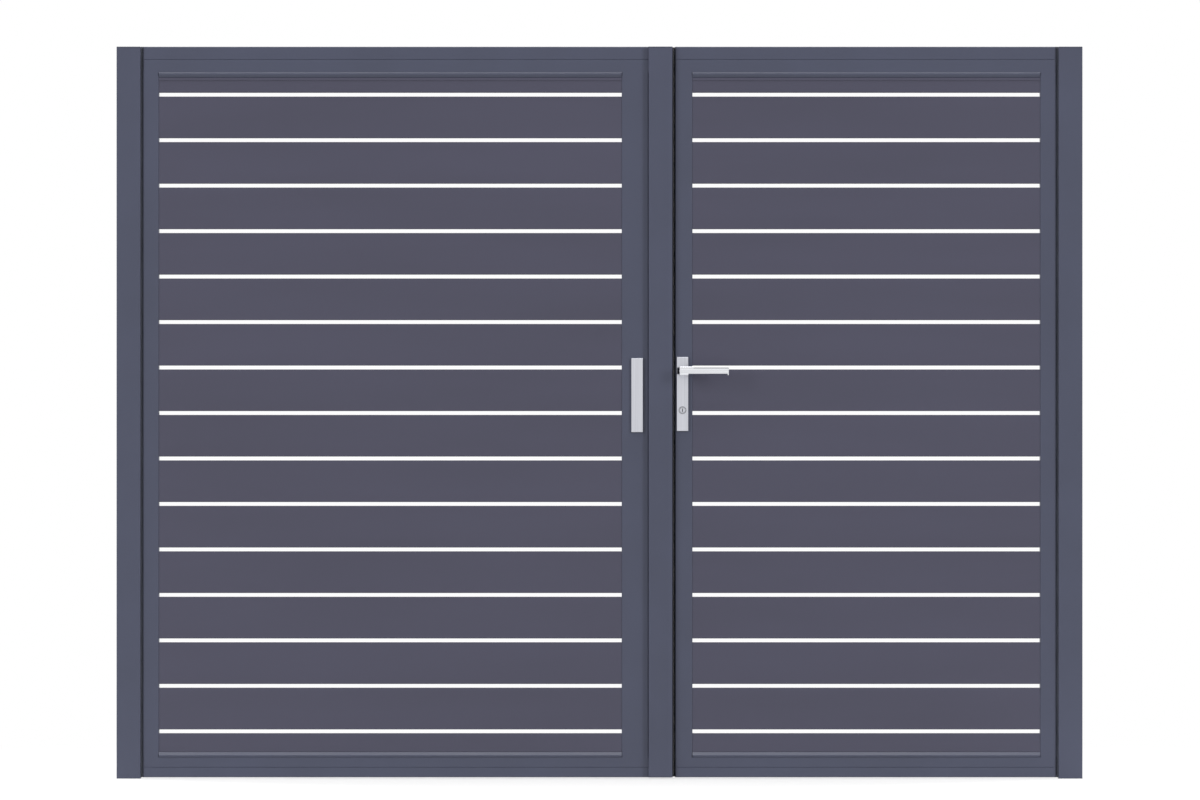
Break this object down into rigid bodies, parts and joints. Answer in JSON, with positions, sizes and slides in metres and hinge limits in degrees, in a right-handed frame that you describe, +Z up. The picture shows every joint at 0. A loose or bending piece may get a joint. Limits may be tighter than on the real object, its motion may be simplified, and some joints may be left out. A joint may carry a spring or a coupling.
{
  "type": "double garden gate",
  "caption": "Double garden gate of coated aluminium with a wide and a narrow slatted leaf hung between square posts, a stop strip and a sprung lever set on the narrow leaf.",
  "frame": {"origin": "middle of the left post's foot face, on the ground", "axes": "+X to the right along the gate as seen from the front, +Y from front to back, the way the leaves open, +Z up"},
  "size_m": [2.415, 0.162, 1.83],
  "materials": {
    "anthracite_coat": "satin powder coat, anthracite grey",
    "slat_coat": "satin powder coat, anthracite grey, slightly warmer",
    "hinge_steel": "satin powder coat on steel",
    "stainless": "brushed stainless steel",
    "cap_plastic": "matt moulded plastic",
    "black_rubber": "matt extruded rubber"
  },
  "bodies": {
    "posts": {"left_post": "anthracite_coat", "right_post": "anthracite_coat", "post_caps": "cap_plastic", "post_seals": "black_rubber", "left_hinge_gudgeons": "hinge_steel", "right_hinge_gudgeons": "hinge_steel"},
    "wide_leaf": {"wide_hinge_stile": "anthracite_coat", "wide_meeting_stile": "anthracite_coat", "wide_top_rail": "anthracite_coat", "wide_bottom_rail": "anthracite_coat", "wide_rail_caps": "cap_plastic", "wide_slats": "slat_coat", "wide_infill_beads": "anthracite_coat", "wide_top_channel": "slat_coat", "wide_hinge_straps": "hinge_steel", "stop_strip": "anthracite_coat", "strip_caps": "cap_plastic", "strip_seal": "black_rubber", "strike_plate": "stainless", "front_blank_plate": "stainless", "back_blank_plate": "stainless", "drop_bolt": "hinge_steel", "drop_bolt_guides": "hinge_steel"},
    "narrow_leaf": {"narrow_lock_stile": "anthracite_coat", "narrow_hinge_stile": "anthracite_coat", "narrow_top_rail": "anthracite_coat", "narrow_bottom_rail": "anthracite_coat", "narrow_rail_caps": "cap_plastic", "narrow_slats": "slat_coat", "narrow_infill_beads": "anthracite_coat", "narrow_top_channel": "slat_coat", "narrow_hinge_straps": "hinge_steel", "lock_stile_seal": "black_rubber", "front_lock_plate": "stainless", "back_lock_plate": "stainless", "lock_cylinder": "stainless", "lock_forend": "stainless", "lock_bolts": "stainless"},
    "lever": {"front_lever": "stainless", "back_lever": "stainless", "lever_spindle": "stainless"}
  },
  "joints": [
    {"name": "wide_leaf_swing", "type": "hinge", "parent": "posts", "child": "wide_leaf", "pos_m": [0.03275, 0.041, 0.26], "axis": [0, 0, 1], "range_deg": [0, 95]},
    {"name": "narrow_leaf_swing", "type": "hinge", "parent": "posts", "child": "narrow_leaf", "pos_m": [2.32225, 0.041, 0.26], "axis": [0, 0, -1], "range_deg": [0, 95]},
    {"name": "lever_turn", "type": "hinge", "parent": "narrow_leaf", "child": "lever", "pos_m": [1.385, -0.026, 1.0193], "axis": [0, 1, 0], "range_deg": [0, 45], "stiffness_Nm_per_rad": 1.2, "springref_deg": -28.65}
  ]
}
